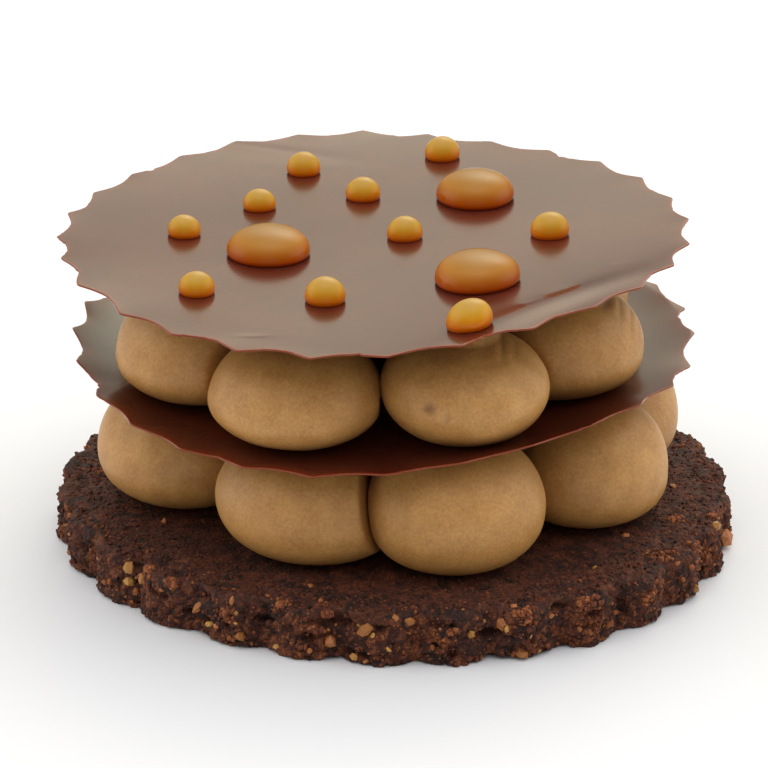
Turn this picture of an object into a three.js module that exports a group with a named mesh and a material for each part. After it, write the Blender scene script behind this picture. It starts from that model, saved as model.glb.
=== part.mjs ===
// Chocolate tartlet, built up in layers like a small cake:
//   a scalloped chocolate biscuit base, a ring of piped ganache balls, a thin toothed chocolate disc,
//   a second ring of balls, a second disc, and caramel drops on the top disc.
//
// Millimetres, +Z up. The origin is the middle of the underside of the base.
// A "turn" is an angle in degrees seen from above: 0 at the front (-Y), growing towards the right (+X).

import * as THREE from 'three';
import { mergeVertices } from 'three/addons/utils/BufferGeometryUtils.js';

// ---- Driving dimensions ----------------------------------------------------------------------

// Space left between neighbouring pieces.
const GAP = 0.3;

// Biscuit base: a fluted round, a little wider at the front right, with inward cusps between its scallops.
const BASE = {
  crestRadius: 40.1,
  thickness: 5.9,
  scallops: 28,
  scallopDepth: 1.2,
  // The scallops are narrower at the front: their places wander by this many degrees, twice round.
  wander: 2.5,
  wanderLead: 47,
  cuspTurn: 0.7,
  // Out-of-round swells of the outline: lobes round the rim, height, turn of one crest.
  swells: [
    { lobes: 1, height: 0.25, crest: -80 },
    { lobes: 2, height: 0.35, crest: 30 },
    { lobes: 3, height: 0.35, crest: 28 },
  ],
};

// Section of the base from the middle of its underside to the middle of its top, each point as its share of
// the radius and of the thickness: the lower and the upper edge are a little worn.
const BASE_SECTION = [[0, 0], [0.988, 0], [1, 0.18], [1, 0.8], [0.982, 1], [0.85, 1], [0, 1]];

// Both chocolate discs come from one toothed cutter, and each has warped in its own way.
// The inner part of a disc is a tilted plane; towards the rim it lifts or droops by the warps.
const DISC = {
  thickness: 0.5,
  teeth: 28,
  toothDepth: 1.2,
};

// The scallops and the teeth fade away from the rim: the power of the share of the radius that they follow.
const SCALLOP_FADE = 8;
const TOOTH_FADE = 20;

const MIDDLE_DISC = {
  centre: [-1.9, 1.0],
  radius: 36.3,
  toothTurn: 91,
  level: 20.3,
  tilt: { rise: 1.05, crest: 171 },
  rimLift: 2.85,
  warpPower: 5,
  warps: [
    { lobes: 1, height: 0.67, crest: 171 },
    { lobes: 2, height: 1.13, crest: 73 },
    { lobes: 3, height: 0.6, crest: 27.3 },
    { lobes: 4, height: 0.15, crest: -35.7 },
  ],
};

const TOP_DISC = {
  centre: [-2.9, 1.0],
  radius: 36.7,
  toothTurn: 92.3,
  level: 35.5,
  tilt: { rise: 1.27, crest: 157 },
  rimLift: 1.0,
  warpPower: 4,
  warps: [
    { lobes: 2, height: 0.5, crest: 72 },
    { lobes: 3, height: 0.43, crest: 53 },
    { lobes: 4, height: 0.33, crest: 27.3 },
  ],
};

// Piped balls: turn round the tartlet, reach from its middle, radii (round the ring, along the reach),
// height of the widest level above the seat, firmness against the neighbours, height of the dome above the
// widest level as a share of the room there (more than 1 is pressed flat, less leaves a tip), and outward
// lean of the top.
const LOWER_BALLS = [
  { turn: -80, reach: 25.0, radii: [10.8, 11.0], belly: 6.2, firmness: 10, dome: 1.25, lean: -0.6 },
  { turn: -25, reach: 23.6, radii: [11.0, 9.4], belly: 6.3, firmness: 9.5, dome: 1.3, lean: -0.4 },
  { turn: 14.5, reach: 25.2, radii: [9.8, 9.6], belly: 7.0, firmness: 12, dome: 1.35, lean: -0.6 },
  { turn: 64.2, reach: 24.3, radii: [10.4, 9.4], belly: 4.6, firmness: 10, dome: 0.98, lean: 0.8 },
  { turn: 104, reach: 24.6, radii: [9.6, 9.6], belly: 6.0, firmness: 9.5, dome: 1.2, lean: -0.3 },
  { turn: 148, reach: 24.2, radii: [10.2, 9.8], belly: 5.8, firmness: 10, dome: 1.1, lean: -0.8 },
  { turn: 192, reach: 24.6, radii: [9.8, 9.5], belly: 6.4, firmness: 10.5, dome: 1.2, lean: 0.3 },
  { turn: 236, reach: 24.0, radii: [10.1, 9.9], belly: 5.7, firmness: 10, dome: 1.15, lean: -0.5 },
];

const UPPER_BALLS = [
  { turn: -67, reach: 24.9, radii: [9.8, 9.8], belly: 4.9, firmness: 9.5, dome: 1.0, lean: -0.5 },
  { turn: -27.6, reach: 24.8, radii: [9.8, 9.4], belly: 4.6, firmness: 10.4, dome: 0.78, lean: -0.6 },
  { turn: 17.7, reach: 23.8, radii: [9.3, 9.3], belly: 5.9, firmness: 10.4, dome: 0.74, lean: -0.8 },
  { turn: 64.5, reach: 20.1, radii: [9.7, 10.0], belly: 5.0, firmness: 9.3, dome: 0.8, lean: 1.2 },
  { turn: 115, reach: 20.8, radii: [9.4, 9.3], belly: 5.4, firmness: 9.8, dome: 0.95, lean: 0.2 },
  { turn: 160, reach: 22.6, radii: [9.5, 9.6], belly: 5.1, firmness: 10, dome: 0.85, lean: -0.7 },
  { turn: 205, reach: 23.4, radii: [9.8, 9.2], belly: 5.5, firmness: 9.8, dome: 0.9, lean: 0.4 },
  { turn: 249, reach: 23.6, radii: [9.6, 9.5], belly: 5.2, firmness: 10, dome: 0.92, lean: -0.4 },
];

// How a ball's soft paste settles: its rounded foot as a share of the widest level's height (more than 1 is
// pressed flat), and how the nozzle's tip stands on the dome, from this share of the dome's height up.
const FOOT_SHARE = 1.06;
const TIP_START = 0.9;

// Caramel drops on the top disc: place of the foot, radius and height.
const LARGE_DROPS = [
  { at: [-14.9, -4.3], radius: 4.8, height: 3.2 },
  { at: [9.2, 14.1], radius: 4.7, height: 3.35 },
  { at: [8.8, -13.5], radius: 4.75, height: 3.3 },
];

const SMALL_DROPS = [
  { at: [-11.5, 24.0], radius: 2.05, height: 2.5 },
  { at: [5.5, 29.1], radius: 2.15, height: 2.6 },
  { at: [-16.5, 11.6], radius: 1.95, height: 2.3 },
  { at: [-4.2, 14.9], radius: 2.1, height: 2.5 },
  { at: [-24.9, 2.2], radius: 1.95, height: 2.35 },
  { at: [0.7, 0.8], radius: 2.1, height: 2.5 },
  { at: [17.5, 0.7], radius: 2.25, height: 2.7 },
  { at: [-22.5, -16.5], radius: 2.0, height: 2.4 },
  { at: [-8.2, -18.9], radius: 2.25, height: 2.7 },
  { at: [7.5, -28.8], radius: 2.55, height: 3.1 },
];

// Height of a drop's widest level as a share of its height: large drops are flat domes, small ones beads.
const LARGE_WAIST = 0.2;
const SMALL_WAIST = 0.38;

// Depth of a drop's rounded foot as a share of its waist's height: more than 1 is pressed flat.
const DROP_FOOT_SHARE = 1.3;

// Fineness of the facets.
const SAMPLES_PER_SCALLOP = 6;
const SAMPLES_PER_TOOTH = 4;
const BALL_FACETS = { round: 16, tall: 7 };
const LARGE_DROP_FACETS = { round: 16, tall: 6 };
const SMALL_DROP_FACETS = { round: 12, tall: 5 };
// Rings of points on a disc's faces, as shares of its radius.
const DISC_RINGS = [0.4, 0.75, 0.92, 1];
const WELD_DISTANCE = 1e-5;

// ---- Finishes --------------------------------------------------------------------------------

const finish = (color, roughness) => new THREE.MeshStandardMaterial({ color, roughness, metalness: 0 });
const biscuitFinish = () => finish(0x3a2219, 0.95);
const ganacheFinish = () => finish(0xa67c50, 0.55);
const chocolateFinish = () => finish(0x5c3524, 0.25);
const largeDropFinish = () => finish(0xb07a3c, 0.2);
const smallDropFinish = () => finish(0xc48a34, 0.2);

// ---- Shared geometry -------------------------------------------------------------------------

const radians = THREE.MathUtils.degToRad;

// Point at a turn (radians) and a distance from the middle.
const place = (turn, reach) => new THREE.Vector2(reach * Math.sin(turn), -reach * Math.cos(turn));

// Turn (radians) of a point.
const turnOf = (x, y) => Math.atan2(x, -y);

// Sum of cosine swells round a rim at a turn: each has its lobes, height and the turn of one crest.
function swell(waves, turn) {
  let total = 0;
  for (const wave of waves) {
    total += wave.height * Math.cos(wave.lobes * (turn - radians(wave.crest)));
  }
  return total;
}

// One closed body from a three.js shape: its seams are welded, collapsed triangles at its poles are dropped,
// and every point is moved by move(point).
function shaped(geometry, move) {
  geometry.deleteAttribute('normal');
  geometry.deleteAttribute('uv');
  const welded = mergeVertices(geometry, WELD_DISTANCE);
  const corners = welded.getIndex().array;
  const kept = [];
  for (let i = 0; i < corners.length; i += 3) {
    const [a, b, c] = [corners[i], corners[i + 1], corners[i + 2]];
    if (a !== b && b !== c && c !== a) {
      kept.push(a, b, c);
    }
  }
  welded.setIndex(kept);
  const points = welded.getAttribute('position');
  const point = new THREE.Vector3();
  for (let i = 0; i < points.count; i += 1) {
    point.fromBufferAttribute(points, i);
    move(point);
    points.setXYZ(i, point.x, point.y, point.z);
  }
  welded.computeVertexNormals();
  return welded;
}

// A round of unit radius turned about Z. Its section is given as [share of radius, level] from the middle of
// the underside, out over the rim, to the middle of the top.
function turnedRound(section, steps) {
  const points = section.map(([share, level]) => new THREE.Vector2(share, level));
  return new THREE.LatheGeometry(points, steps).rotateX(Math.PI / 2);
}

// A unit sphere with its poles on Z.
const unitBall = (facets) => new THREE.SphereGeometry(1, facets.round, facets.tall).rotateX(Math.PI / 2);

function piece(name, geometry, material, position = [0, 0, 0]) {
  const mesh = new THREE.Mesh(geometry, material);
  mesh.name = name;
  mesh.position.set(...position);
  return mesh;
}

// ---- Biscuit base ----------------------------------------------------------------------------

function makeBase() {
  const round = turnedRound(BASE_SECTION, BASE.scallops * SAMPLES_PER_SCALLOP);
  const geometry = shaped(round, (point) => {
    const evenTurn = turnOf(point.x, point.y);
    const share = Math.hypot(point.x, point.y);
    const wander = radians(BASE.wander) * Math.sin(2 * evenTurn - radians(BASE.wanderLead));
    const turn = evenTurn - wander + radians(BASE.cuspTurn);
    const scallop = 1 - Math.abs(Math.sin((BASE.scallops * evenTurn) / 2));
    const cusp = BASE.scallopDepth * scallop * share ** SCALLOP_FADE;
    const spot = place(turn, share * (BASE.crestRadius + swell(BASE.swells, turn) - cusp));
    point.set(spot.x, spot.y, point.z * BASE.thickness);
  });
  return piece('sable_base', geometry, biscuitFinish());
}

// ---- Chocolate discs -------------------------------------------------------------------------

// Level of a disc's upper face at x, y: a tilted plane plus the warps, which grow towards the rim.
function discTopAt(disc, x, y) {
  const dx = x - disc.centre[0];
  const dy = y - disc.centre[1];
  const share = Math.min(Math.hypot(dx, dy) / disc.radius, 1);
  const turn = turnOf(dx, dy);
  const plane = disc.level + disc.tilt.rise * share * Math.cos(turn - radians(disc.tilt.crest));
  return plane + (disc.rimLift + swell(disc.warps, turn)) * share ** disc.warpPower;
}

const discUndersideAt = (disc, x, y) => discTopAt(disc, x, y) - DISC.thickness;

function makeDisc(name, disc) {
  const under = DISC_RINGS.map((share) => [share, -1]);
  const over = DISC_RINGS.map((share) => [share, 0]).reverse();
  const section = [[0, -1], ...under, ...over, [0, 0]];
  const round = turnedRound(section, DISC.teeth * SAMPLES_PER_TOOTH);
  const geometry = shaped(round, (point) => {
    const evenTurn = turnOf(point.x, point.y);
    const share = Math.hypot(point.x, point.y);
    // Pointed teeth with round valleys between them.
    const valley = Math.abs(Math.sin((DISC.teeth * evenTurn) / 2));
    const reach = share * disc.radius - DISC.toothDepth * valley * share ** TOOTH_FADE;
    const spot = place(evenTurn + radians(disc.toothTurn), reach);
    const x = disc.centre[0] + spot.x;
    const y = disc.centre[1] + spot.y;
    point.set(x, y, discTopAt(disc, x, y) + point.z * DISC.thickness);
  });
  return piece(name, geometry, chocolateFinish());
}

// ---- Piped ganache balls ---------------------------------------------------------------------

const ballCentre = (ball) => place(radians(ball.turn), ball.reach);

// Flat boundary that a ball shares with a neighbour: its direction from the ball and its distance.
// The firmer ball keeps more of the room between their centres.
function boundary(ball, neighbour) {
  const towards = ballCentre(neighbour).sub(ballCentre(ball));
  const apart = towards.length();
  const share = ball.firmness / (ball.firmness + neighbour.firmness);
  return { direction: towards.normalize(), distance: apart * share - GAP / 2 };
}

// A squashed ball of paste: rounded below and domed above its widest level, pressed flat between floorAt
// and ceilingAt and against its neighbours.
function makeBall(name, ball, neighbours, floorAt, ceilingAt) {
  const centre = ballCentre(ball);
  const outwards = centre.clone().normalize();
  const sideways = new THREE.Vector2(outwards.y, -outwards.x);
  const floor = floorAt(centre.x, centre.y);
  const ceiling = ceilingAt(centre.x, centre.y);
  const footHeight = ball.belly * FOOT_SHARE;
  const room = ceiling - floor - ball.belly;
  const domeHeight = room * ball.dome;
  const tipHeight = Math.max(room - domeHeight, 0);
  const boundaries = neighbours.map((neighbour) => boundary(ball, neighbour));
  const bellyLevel = floor + ball.belly;
  const [halfWidth, halfLength] = ball.radii;

  const geometry = shaped(unitBall(BALL_FACETS), (point) => {
    const up = Math.max(point.z, 0);
    const tip = Math.max((point.z - TIP_START) / (1 - TIP_START), 0);
    const spot = new THREE.Vector2()
      .addScaledVector(sideways, point.x * halfWidth)
      .addScaledVector(outwards, point.y * halfLength + ball.lean * up);
    for (const { direction, distance } of boundaries) {
      const beyond = spot.dot(direction) - distance;
      if (beyond > 0) {
        spot.addScaledVector(direction, -beyond);
      }
    }
    const height = point.z * (point.z > 0 ? domeHeight : footHeight) + tip * tipHeight;
    const lowest = floorAt(centre.x + spot.x, centre.y + spot.y) + GAP;
    const highest = ceilingAt(centre.x + spot.x, centre.y + spot.y) - GAP;
    const level = THREE.MathUtils.clamp(bellyLevel + height, lowest, highest);
    point.set(spot.x, spot.y, level - bellyLevel);
  });
  return piece(name, geometry, ganacheFinish(), [centre.x, centre.y, bellyLevel]);
}

function makeRing(prefix, balls, floorAt, ceilingAt) {
  const ring = new THREE.Group();
  balls.forEach((ball, index) => {
    const before = balls[(index + balls.length - 1) % balls.length];
    const after = balls[(index + 1) % balls.length];
    ring.add(makeBall(`${prefix}_${index + 1}`, ball, [before, after], floorAt, ceilingAt));
  });
  return ring;
}

// ---- Caramel drops ---------------------------------------------------------------------------

// A glossy drop on the top disc: round, widest at its waist, and flat where it stands.
function makeDrop(name, drop, waistShare, facets, material) {
  const [x, y] = drop.at;
  const foot = discTopAt(TOP_DISC, x, y);
  const waist = waistShare * drop.height;
  const geometry = shaped(unitBall(facets), (point) => {
    const above = waist + point.z * (drop.height - waist);
    const below = waist + point.z * waist * DROP_FOOT_SHARE;
    const height = point.z > 0 ? above : below;
    const east = point.x * drop.radius;
    const north = point.y * drop.radius;
    const seat = discTopAt(TOP_DISC, x + east, y + north);
    point.set(east, north, seat - foot + Math.max(height, GAP));
  });
  return piece(name, geometry, material, [x, y, foot]);
}

function makeDrops() {
  const drops = new THREE.Group();
  LARGE_DROPS.forEach((drop, index) => {
    const name = `drop_large_${index + 1}`;
    drops.add(makeDrop(name, drop, LARGE_WAIST, LARGE_DROP_FACETS, largeDropFinish()));
  });
  SMALL_DROPS.forEach((drop, index) => {
    const name = `drop_small_${index + 1}`;
    drops.add(makeDrop(name, drop, SMALL_WAIST, SMALL_DROP_FACETS, smallDropFinish()));
  });
  return drops;
}

// ---- The whole tartlet -----------------------------------------------------------------------

const baseTop = () => BASE.thickness;
const middleTop = (x, y) => discTopAt(MIDDLE_DISC, x, y);
const middleUnderside = (x, y) => discUndersideAt(MIDDLE_DISC, x, y);
const topUnderside = (x, y) => discUndersideAt(TOP_DISC, x, y);

const group = new THREE.Group();
group.add(makeBase());
group.add(makeRing('ball_lower', LOWER_BALLS, baseTop, middleUnderside));
group.add(makeDisc('disc_middle', MIDDLE_DISC));
group.add(makeRing('ball_upper', UPPER_BALLS, middleTop, topUnderside));
group.add(makeDisc('disc_top', TOP_DISC));
group.add(makeDrops());

export default group;
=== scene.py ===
# %% [markdown]
# # A chocolate tartlet
# The real one is built up by hand in layers: a crumbly cocoa biscuit cut with a fluted cutter, a ring of
# piped ganache balls, a thin toothed sheet of chocolate, a second ring and a second sheet, and caramel drops
# on top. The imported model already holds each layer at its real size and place, so this lesson only gives
# every layer its fine surface and its finish. Apart from the loose crumbs, each piece replaces one solid.

# %% Load the fixed frame
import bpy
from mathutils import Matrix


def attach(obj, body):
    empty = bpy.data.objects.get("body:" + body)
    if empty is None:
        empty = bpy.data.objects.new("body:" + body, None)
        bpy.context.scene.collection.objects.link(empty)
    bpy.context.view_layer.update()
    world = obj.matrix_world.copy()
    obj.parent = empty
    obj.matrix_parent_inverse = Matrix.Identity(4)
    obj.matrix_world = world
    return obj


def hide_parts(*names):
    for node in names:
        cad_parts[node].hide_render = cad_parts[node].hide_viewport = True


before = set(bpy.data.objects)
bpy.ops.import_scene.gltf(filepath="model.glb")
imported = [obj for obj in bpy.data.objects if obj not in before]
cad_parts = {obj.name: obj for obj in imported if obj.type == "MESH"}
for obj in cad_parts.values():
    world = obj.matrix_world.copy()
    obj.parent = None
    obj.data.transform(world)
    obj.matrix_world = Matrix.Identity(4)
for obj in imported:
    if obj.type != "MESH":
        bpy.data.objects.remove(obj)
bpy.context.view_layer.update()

# %% [markdown]
# ## Camera
# The photograph was taken from a little above the table with a long lens, which keeps the rim of every layer
# a calm ellipse. A camera is placed by its elevation and its distance from a point inside the tartlet, which
# is easier to read than a matrix. All sizes in this lesson are millimetres, and MM turns them into metres.

# %% Camera
from itertools import product

import bpy
import numpy as np
from mathutils import Vector

MM = 0.001
LOOK_AT = Vector((-1.7, 1.0, 17.3)) * MM
CAMERA_ELEVATION = np.radians(20.5)
CAMERA_DISTANCE = 395 * MM
LENS = 157.2

scene = bpy.context.scene
camera = bpy.data.objects.new("camera", bpy.data.cameras.new("camera"))
scene.collection.objects.link(camera)
backwards = Vector((0, -np.cos(CAMERA_ELEVATION), np.sin(CAMERA_ELEVATION)))
camera.location = LOOK_AT + backwards * CAMERA_DISTANCE
camera.rotation_euler = backwards.to_track_quat("Z", "Y").to_euler()
camera.data.lens = LENS
camera.data.sensor_width = 36
camera.data.clip_start = 10 * MM
scene.camera = camera
print("camera at", [round(c, 3) for c in camera.location])

# %% [markdown]
# ## Making surfaces from formulas
# Every layer is a round thing, so one way of meshing serves them all: rings of points with the same number
# of points in each, joined by quads, and a fan of triangles closing each end. What differs from layer to
# layer is only the formula that places the points, and that is worked out for whole arrays at once.

# %% Rings of points become a closed mesh
def place(turn, reach):
    """x and y of a point: reach times the sine and minus the cosine of its turn, which is in radians from the
    front towards the right."""
    return reach * np.sin(turn), -reach * np.cos(turn)


def turn_of(x, y):
    """The turn of a point, the reverse of place."""
    return np.arctan2(x, -y)


def even_turns(steps):
    return np.linspace(0, 2 * np.pi, steps, endpoint=False)


def together(*parts):
    """Numbers or grids of numbers, stretched to one shape and stacked along a new last axis."""
    return np.stack(np.broadcast_arrays(*parts), axis=-1)


def closed_rings(rings):
    """Points and faces of a closed skin. rings[r, c] runs anticlockwise seen from above, from the lowest
    ring to the highest. The first and the last ring close in a fan at their mean point."""
    count, steps = rings.shape[:2]
    start = rings[0].mean(axis=0)
    end = rings[-1].mean(axis=0)
    points = np.vstack([start[None], rings.reshape(-1, 3), end[None]])
    here = 1 + np.arange(count * steps).reshape(count, steps)
    right = np.roll(here, -1, axis=1)
    quads = together(here[:-1], right[:-1], right[1:], here[1:]).reshape(-1, 4)
    last = count * steps + 1
    fans = np.vstack([together(0, right[0], here[0]), together(here[-1], right[-1], last)])
    return points, quads.tolist() + fans.tolist()


def make_piece(name, points, faces, material, replaced=(), smooth=True):
    """Puts a mesh (points in mm) into the scene as a piece of the tartlet."""
    mesh = bpy.data.meshes.new(name)
    mesh.from_pydata((points * MM).tolist(), [], faces)
    mesh.polygons.foreach_set("use_smooth", [smooth] * len(mesh.polygons))
    mesh.materials.append(material)
    piece = bpy.data.objects.new(name, mesh)
    scene.collection.objects.link(piece)
    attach(piece, "root")
    if replaced:
        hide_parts(*replaced)
    return piece


def paint(piece, name, values):
    """Gives every point of a piece one number that its material can read."""
    attribute = piece.data.attributes.new(name, "FLOAT", "POINT")
    attribute.data.foreach_set("value", np.asarray(values, np.float32))


def make_round(name, rings, material, slot, node, **painted):
    """A piece from rings, in place of the plain solid of a node. A painted grid holds a number for each
    point of the rings, and the closing point at each end gets the mean of its ring."""
    points, faces = closed_rings(rings)
    piece = make_piece(name, points, faces, material, [node])
    for attribute, values in painted.items():
        paint(piece, attribute, np.concatenate([[values[0].mean()], values.ravel(), [values[-1].mean()]]))
    print(name, "faces:", len(faces), "height from", rings[..., 2].min(), "to", rings[..., 2].max())


def outward(rings):
    """Unit normals of a skin of rings: along each ring, crossed with the way from ring to ring."""
    along = np.roll(rings, -1, axis=1) - np.roll(rings, 1, axis=1)
    across = np.gradient(rings, axis=0)
    normal = np.cross(along, across)
    return normal / np.maximum(np.linalg.norm(normal, axis=-1, keepdims=True), 1e-9)


# %% [markdown]
# ## Chance with a memory
# Baked crumb, soft paste and warped chocolate are all uneven, but the same run must give the same tartlet. So
# chance comes from a scrambled sum of whole numbers: each cell of a lattice always gets the same number. Soft
# noise blends those numbers. Grain noise looks for the nearest of the scattered points, as crumbs pack.

# %% Lattice noise
def chance(cells, seed):
    """A number from 0 to 1 for each whole-number cell, scrambled by multiplying and folding its bits."""
    mixed = cells[..., 0] * 374761393 + cells[..., 1] * 668265263 + cells[..., 2] * 1440662683
    mixed = (mixed + seed * 1274126177) & 0xFFFFFFFF
    mixed = ((mixed ^ (mixed >> 13)) * 1103515245) & 0xFFFFFFFF
    mixed = ((mixed ^ (mixed >> 15)) * 668265263) & 0xFFFFFFFF
    return ((mixed >> 8) & 0xFFFF) / 65535


def soft_noise(points, size, seed):
    """Smooth bumps from -1 to 1, about one size apart: lattice chances blended by 3t^2 - 2t^3."""
    spots = points / size
    cells = np.floor(spots).astype(np.int64)
    share = spots - cells
    share = share * share * (3 - 2 * share)
    total = np.zeros(points.shape[:-1])
    for corner in product((0, 1), repeat=3):
        weight = np.where(corner, share, 1 - share).prod(axis=-1)
        total += weight * chance(cells + corner, seed)
    return 2 * total - 1


def layers(points, rows):
    """Sum of soft noises. Each row is (height, size, seed)."""
    return sum(height * soft_noise(points, size, seed) for height, size, seed in rows)


def grain_noise(points, size, seed):
    """Packed grains about one size wide. For each point: distance to the nearest grain's middle, how much
    further the next one is, both in sizes, and that nearest grain's own number from 0 to 1."""
    spots = points / size
    cells = np.floor(spots).astype(np.int64)
    nearest = np.full(points.shape[:-1], 9.0)
    second = nearest.copy()
    number = np.zeros(points.shape[:-1])
    for offset in product((-1, 0, 1), repeat=3):
        cell = cells + offset
        middle = cell + together(*(chance(cell, seed + axis) for axis in range(3)))
        distance = np.linalg.norm(spots - middle, axis=-1)
        closer = distance < nearest
        second = np.where(closer, nearest, np.minimum(second, distance))
        number = np.where(closer, chance(cell, seed + 7), number)
        nearest = np.where(closer, distance, nearest)
    return nearest, second - nearest, number


def smooth_step(low, high, value):
    """0 below low, 1 above high, and 3t^2 - 2t^3 between."""
    share = np.clip((value - low) / (high - low), 0, 1)
    return share * share * (3 - 2 * share)


def swell(waves, turn):
    """Sum of cosine waves round a rim. Each wave is (lobes, height, turn of one crest in degrees)."""
    return sum(height * np.cos(lobes * (turn - np.radians(crest))) for lobes, height, crest in waves)


# %% [markdown]
# ## A short way to write materials
# Each finish is one Principled shader with a few nodes before it. This small helper keeps the recipes short:
# it adds a node and gives each of its inputs a value or the output of another node.

# %% Material helper
def linear(red, green, blue):
    """The light that a screen colour from 0 to 255 stands for, by the screen's own curve."""
    share = np.array([red, green, blue]) / 255
    return (*np.where(share > 0.04045, ((share + 0.055) / 1.055) ** 2.4, share / 12.92), 1.0)


class Nodes:
    """Short ways to add nodes to a tree and to feed them."""

    def __init__(self, tree):
        self.tree = tree

    def feed(self, node, inputs):
        """Gives each named or numbered input a value, or joins it to the output of another node."""
        for socket, value in inputs.items():
            if isinstance(value, bpy.types.NodeSocket):
                self.tree.links.new(value, node.inputs[socket])
            else:
                node.inputs[socket].default_value = value

    def add(self, kind, inputs=None, **settings):
        node = self.tree.nodes.new(kind)
        for name, value in settings.items():
            setattr(node, name, value)
        self.feed(node, inputs or {})
        return node


class Finish(Nodes):
    """A material and its Principled shader, whose inputs are given by name."""

    def __init__(self, name, **values):
        self.material = bpy.data.materials.new(name)
        self.material.use_nodes = True
        super().__init__(self.material.node_tree)
        self.shader = self.tree.nodes["Principled BSDF"]
        self.feed(self.shader, {socket.replace("_", " "): value for socket, value in values.items()})
        self.place = self.add("ShaderNodeTexCoord").outputs["Object"]

    def texture(self, kind, size, **values):
        """Outputs of a texture over the object's own coordinates, size in mm."""
        return self.add(kind, {"Vector": self.place, "Scale": 1 / (size * MM), **values}).outputs

    def noise(self, size, detail=2.0, roughness=0.5):
        return self.texture("ShaderNodeTexNoise", size, Detail=detail, Roughness=roughness)["Fac"]

    def number(self, name):
        """The value painted on the piece under that name."""
        return self.add("ShaderNodeAttribute", attribute_name=name).outputs["Fac"]

    def ramp(self, output, stops):
        """Turns a number into a colour by stops (place, colour)."""
        node = self.add("ShaderNodeValToRGB", {"Fac": output})
        marks = node.color_ramp.elements
        marks[0].position, marks[0].color = stops[0]
        marks[1].position, marks[1].color = stops[-1]
        for position, colour in stops[1:-1]:
            marks.new(position).color = colour
        return node.outputs["Color"]

    def blend(self, share, first, second):
        """Mixes two colours (a colour or an output each) by a share (a number or an output)."""
        return self.add("ShaderNodeMix", {0: share, 6: first, 7: second}, data_type="RGBA").outputs[2]

    def colour(self, output):
        self.feed(self.shader, {"Base Color": output})

    def bump(self, output, depth):
        """Raises the surface by an output times a depth in mm. A second bump adds to the first."""
        node = self.add("ShaderNodeBump", {"Height": output, "Distance": depth * MM})
        before = self.shader.inputs["Normal"].links
        if before:
            self.feed(node, {"Normal": before[0].from_socket})
        self.feed(self.shader, {"Normal": node.outputs["Normal"]})


# %% [markdown]
# ## Floor and light
# The tartlet stands in a white light tent: light comes from everywhere, most of it from above, and the wall
# behind is bright and a little warm, which is what the glossy disc mirrors. A few lamps could stand in for
# the walls, but each would leave a hard patch in the caramel. So the tent is the world itself, as a sum of
# soft lobes. The view transform is plain sRGB, so a colour that is mixed here comes out as it was mixed. The
# floor is pale card, a touch bluish, because in the warm light of the walls it should come out white.

# %% Floor and light
TENT_EVERYWHERE = 0.05
WHITE_CLOTH = (1.0, 1.0, 1.0)
WARM_WALL = (1.0, 0.95, 0.76)
SIDE_WALL = (1.0, 0.97, 0.86)
# The way a lobe looks (x, y, z), how narrow it is (a power), how bright it is, its colour.
TENT_LOBES = [
    ((0, 0, 1), 2, 1.0, WHITE_CLOTH),
    ((0, 0, 1), 10, 1.4, WHITE_CLOTH),
    ((0.2, 0.7, 0.68), 20, 3.2, WARM_WALL),
    ((0, 1, 0.7), 6, 0.82, WARM_WALL),
    ((0, -1, 0.05), 6, 0.46, WHITE_CLOTH),
    ((-1, 0.1, 0.35), 7, 1.85, SIDE_WALL),
    ((1, 0.1, 0.35), 7, 1.65, SIDE_WALL),
]
FLOOR_HALF_WIDTH = 2500
FLOOR_WHITE = (0.785, 0.795, 0.835, 1)


def light_tent(everywhere, lobes):
    """A world as bright as: everywhere + the sum of colour * strength * max(0, direction . lobe) ^ power."""
    world = bpy.data.worlds.new("white_tent")
    world.use_nodes = True
    nodes = Nodes(world.node_tree)
    direction = nodes.add("ShaderNodeTexCoord").outputs["Generated"]
    total = (everywhere, everywhere, everywhere)
    for way, power, strength, colour in lobes:
        dot_inputs = {0: direction, 1: Vector(way).normalized()}
        value = nodes.add("ShaderNodeVectorMath", dot_inputs, operation="DOT_PRODUCT").outputs["Value"]
        for operation, number in (("MAXIMUM", 0.0), ("POWER", power), ("MULTIPLY", strength)):
            value = nodes.add("ShaderNodeMath", {0: value, 1: number}, operation=operation).outputs["Value"]
        tinted = nodes.add("ShaderNodeVectorMath", {0: colour, "Scale": value}, operation="SCALE")
        total = nodes.add("ShaderNodeVectorMath", {0: tinted.outputs["Vector"], 1: total}).outputs["Vector"]
    nodes.feed(world.node_tree.nodes["Background"], {"Color": total})
    return world


scene.view_settings.view_transform = "Standard"
scene.world = light_tent(TENT_EVERYWHERE, TENT_LOBES)

floor_mesh = bpy.data.meshes.new("floor")
corners = np.array([(-1, -1, 0), (1, -1, 0), (1, 1, 0), (-1, 1, 0)])
floor_mesh.from_pydata((corners * FLOOR_HALF_WIDTH * MM).tolist(), [], [(0, 1, 2, 3)])
floor_finish = Finish("pale_floor", Roughness=0.7, Specular_IOR_Level=0.1, Base_Color=FLOOR_WHITE)
floor_mesh.materials.append(floor_finish.material)
floor = bpy.data.objects.new("floor", floor_mesh)
scene.collection.objects.link(floor)
print("lobes:", len(TENT_LOBES), "floor:", FLOOR_WHITE)

# %% [markdown]
# ## Biscuit base
# Baked cocoa biscuit with chopped nuts. The cutter leaves 28 scallops with sharp inward cusps. The top was
# rolled flat, so it is dull and almost smooth. The cutter tore the side, so the side shows the crumb: packed
# grains, cracks and small caves. The form is a profile carried round the outline. Its relief is a sum of
# noises that push each point along its normal. A displacement in the shader would be lost in the export, so
# the relief is in the mesh.

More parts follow.
